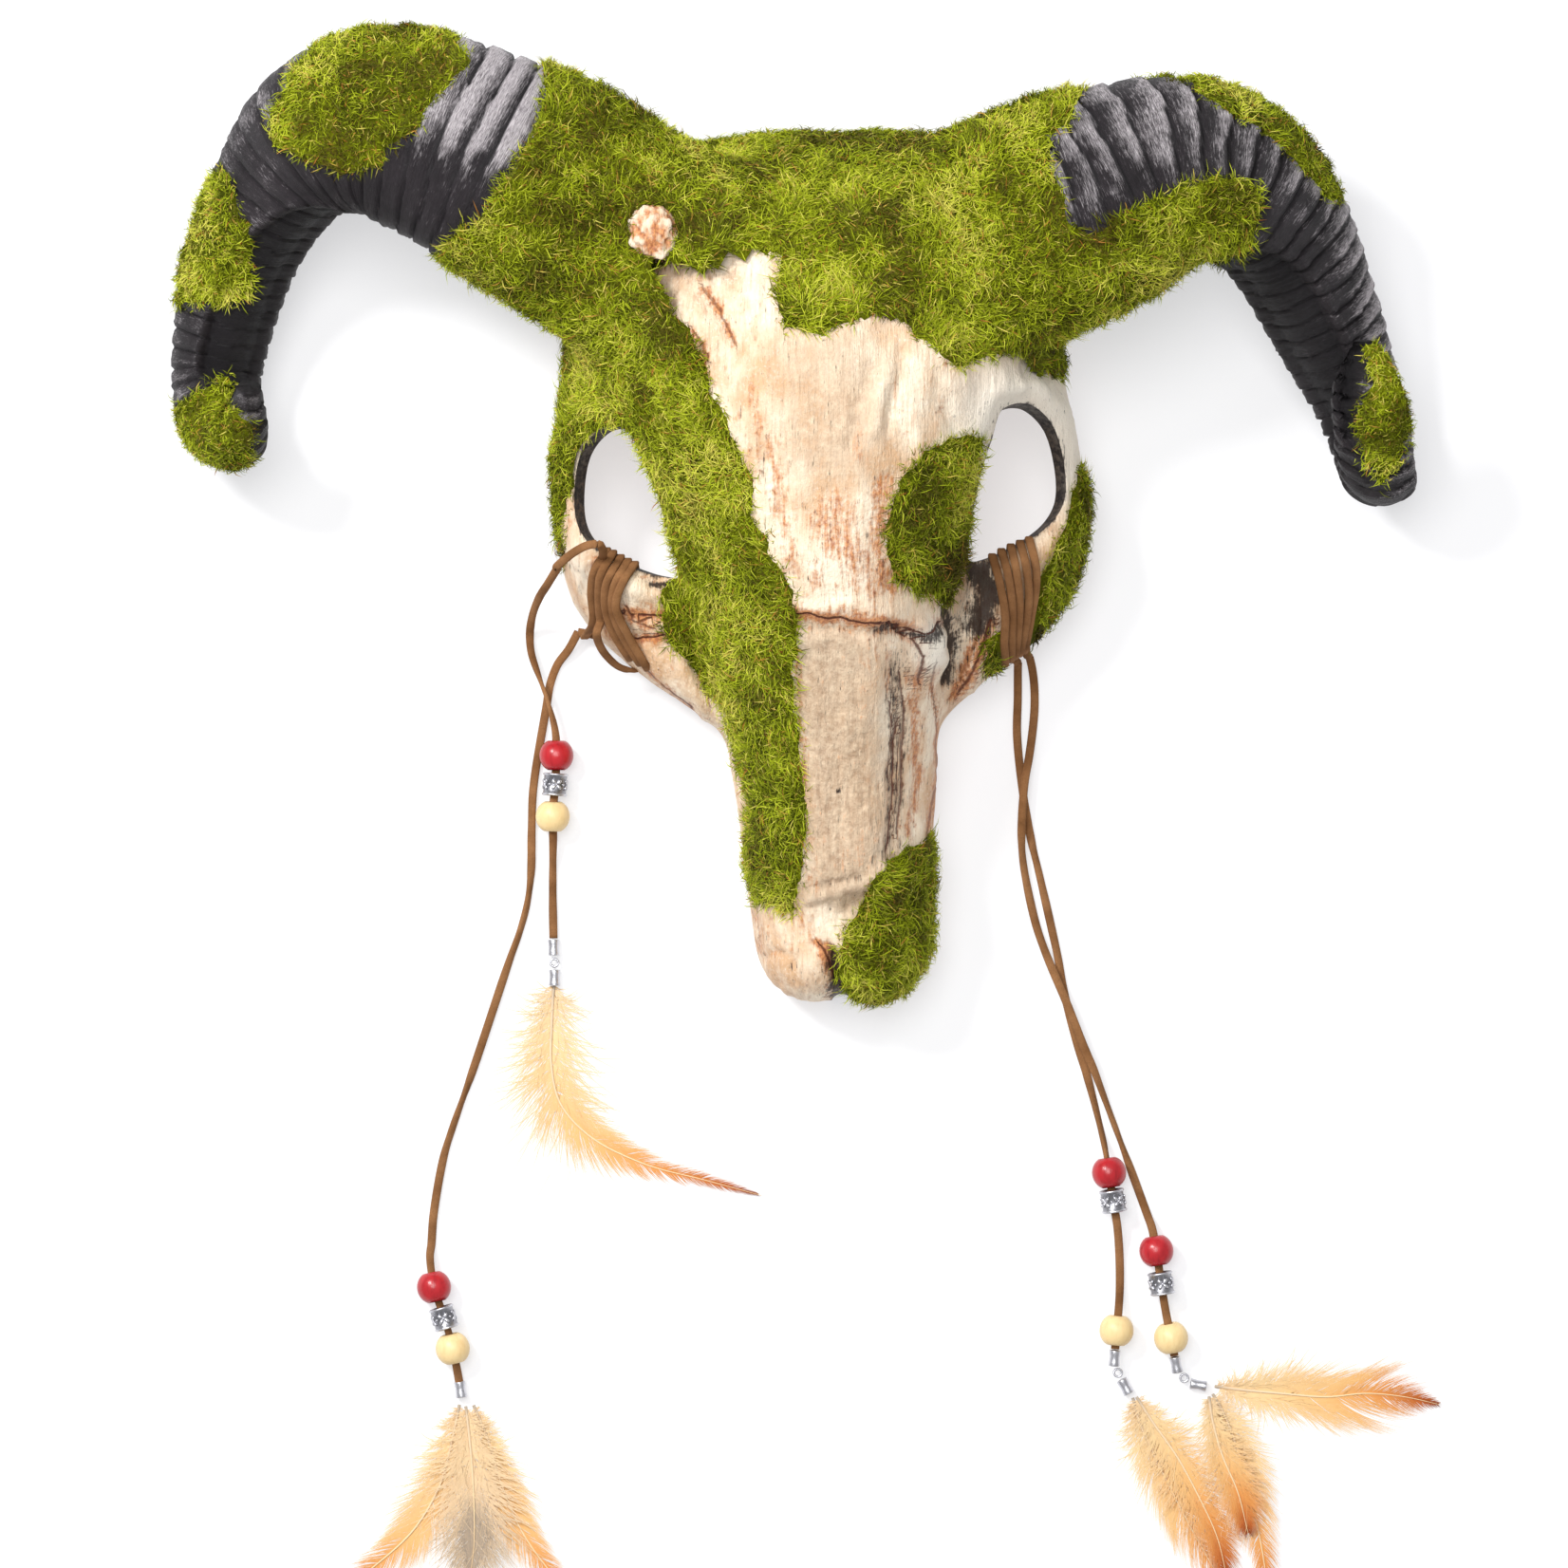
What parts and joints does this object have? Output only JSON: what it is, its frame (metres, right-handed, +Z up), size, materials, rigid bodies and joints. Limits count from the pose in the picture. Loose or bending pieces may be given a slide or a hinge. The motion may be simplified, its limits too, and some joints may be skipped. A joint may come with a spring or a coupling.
{
  "type": "ram skull mask",
  "caption": "Cast ram skull mask with ringed horns, green moss mats, and suede laces wound on the cheekbones that end in beads and feathers.",
  "frame": {"origin": "middle of the mask's outline without its free laces, on the surface that it lies on", "axes": "+Z up out of the mask's face, +Y towards the horns, -Y towards the nose, +X to the mask's right as seen from above"},
  "size_m": [0.3722, 0.4653, 0.088],
  "materials": {
    "cast_bone": "matte",
    "horn": "satin",
    "moss": "matte",
    "suede": "matte",
    "red_wood": "gloss",
    "cream_wood": "satin",
    "silver": "satin",
    "feather": "matte"
  },
  "bodies": {
    "root": {"skull_face": "cast_bone", "horn_left": "horn", "horn_right": "horn", "moss_mat_head": "moss", "moss_mat_beside_right_eye": "moss", "moss_mat_right_cheek": "moss", "moss_mat_muzzle_tip": "moss", "moss_mat_left_horn_bow": "moss", "moss_mat_left_horn_side": "moss", "moss_mat_left_horn_tip": "moss", "moss_mat_right_horn_top": "moss", "moss_mat_right_horn_tip": "moss", "lace_wound_left": "suede", "lace_wound_right": "suede", "lace_left_short": "suede", "lace_left_long": "suede", "lace_right_inner": "suede", "lace_right_outer": "suede", "red_bead_left_short": "red_wood", "silver_barrel_left_short": "silver", "cream_bead_left_short": "cream_wood", "red_bead_left_long": "red_wood", "silver_barrel_left_long": "silver", "cream_bead_left_long": "cream_wood", "red_bead_right_inner": "red_wood", "silver_barrel_right_inner": "silver", "cream_bead_right_inner": "cream_wood", "red_bead_right_outer": "red_wood", "silver_barrel_right_outer": "silver", "cream_bead_right_outer": "cream_wood", "feather_crimp_left_short": "silver", "lace_crimp_left_short": "silver", "ring_left_short": "silver", "feather_crimp_left_long": "silver", "feather_crimp_right_inner": "silver", "lace_crimp_right_inner": "silver", "ring_right_inner": "silver", "feather_crimp_right_outer": "silver", "lace_crimp_right_outer": "silver", "ring_right_outer": "silver", "feather_left_short": "feather", "feather_left_long_a": "feather", "feather_left_long_b": "feather", "feather_left_long_c": "feather", "feather_right_inner_a": "feather", "feather_right_inner_b": "feather", "feather_right_outer_a": "feather", "feather_right_outer_b": "feather", "feather_right_outer_c": "feather"}
  },
  "joints": []
}
